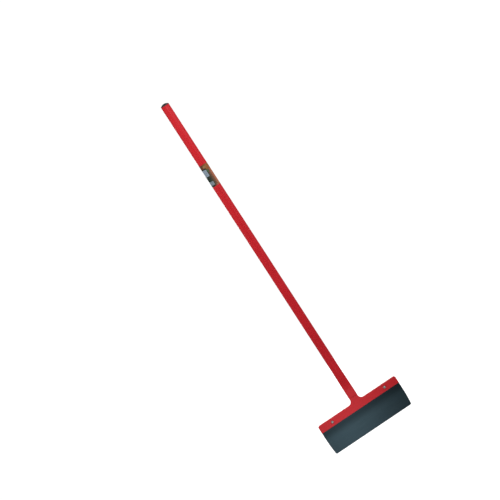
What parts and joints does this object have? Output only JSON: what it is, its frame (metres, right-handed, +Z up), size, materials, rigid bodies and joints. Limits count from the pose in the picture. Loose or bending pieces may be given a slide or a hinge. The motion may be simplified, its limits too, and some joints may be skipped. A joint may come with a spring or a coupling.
{
  "type": "long-handled floor scraper",
  "caption": "Long-handled floor scraper: a straight tubular handle with a domed end plug, ending in a T-shaped head that clamps a wide thin steel blade.",
  "frame": {"origin": "middle of the blade's cutting edge, on the handle's centre plane", "axes": "+Z up the handle's axis to its end plug, +X to the right seen from the front along the cutting edge, -Y to the front, where the screw heads are"},
  "size_m": [0.3556, 0.035, 1.49],
  "materials": {
    "red_paint": "satin powder coat",
    "blade_steel": "blued spring steel with a thin oil film",
    "zinc_plate": "zinc plated",
    "black_plastic": "moulded, fine matt",
    "printed_label": "printed vinyl"
  },
  "bodies": {
    "frame": {"handle_tube": "red_paint", "handle_end_plug": "black_plastic", "handle_label": "printed_label", "head_plate": "red_paint", "neck_weld_front": "red_paint", "neck_weld_rear": "red_paint", "clamp_bar": "red_paint", "clamp_screw_left": "zinc_plate", "clamp_screw_right": "zinc_plate"},
    "blade": {"blade": "blade_steel"},
    "washer_left": {"lock_washer_left": "zinc_plate"},
    "nut_left": {"clamp_nut_left": "zinc_plate"},
    "washer_right": {"lock_washer_right": "zinc_plate"},
    "nut_right": {"clamp_nut_right": "zinc_plate"}
  },
  "joints": [
    {"name": "blade_slide", "type": "slide", "parent": "frame", "child": "blade", "axis": [0, 0, -1], "range_m": [0, 0.025]},
    {"name": "nut_travel_left", "type": "slide", "parent": "frame", "child": "washer_left", "axis": [0, 1, 0], "range_m": [0, 0.00635]},
    {"name": "nut_turn_left", "type": "hinge", "parent": "washer_left", "child": "nut_left", "pos_m": [-0.12065, 0.01068, 0.11288], "axis": [0, 1, 0], "range_deg": [0, 1800]},
    {"name": "nut_travel_right", "type": "slide", "parent": "frame", "child": "washer_right", "axis": [0, 1, 0], "range_m": [0, 0.00635]},
    {"name": "nut_turn_right", "type": "hinge", "parent": "washer_right", "child": "nut_right", "pos_m": [0.12065, 0.01068, 0.11288], "axis": [0, 1, 0], "range_deg": [0, 1800]}
  ],
  "couplings": [
    {"joint": "nut_travel_left", "follows": "nut_turn_left", "m_per_rad": 0.00020213},
    {"joint": "nut_travel_right", "follows": "nut_turn_right", "m_per_rad": 0.00020213}
  ]
}
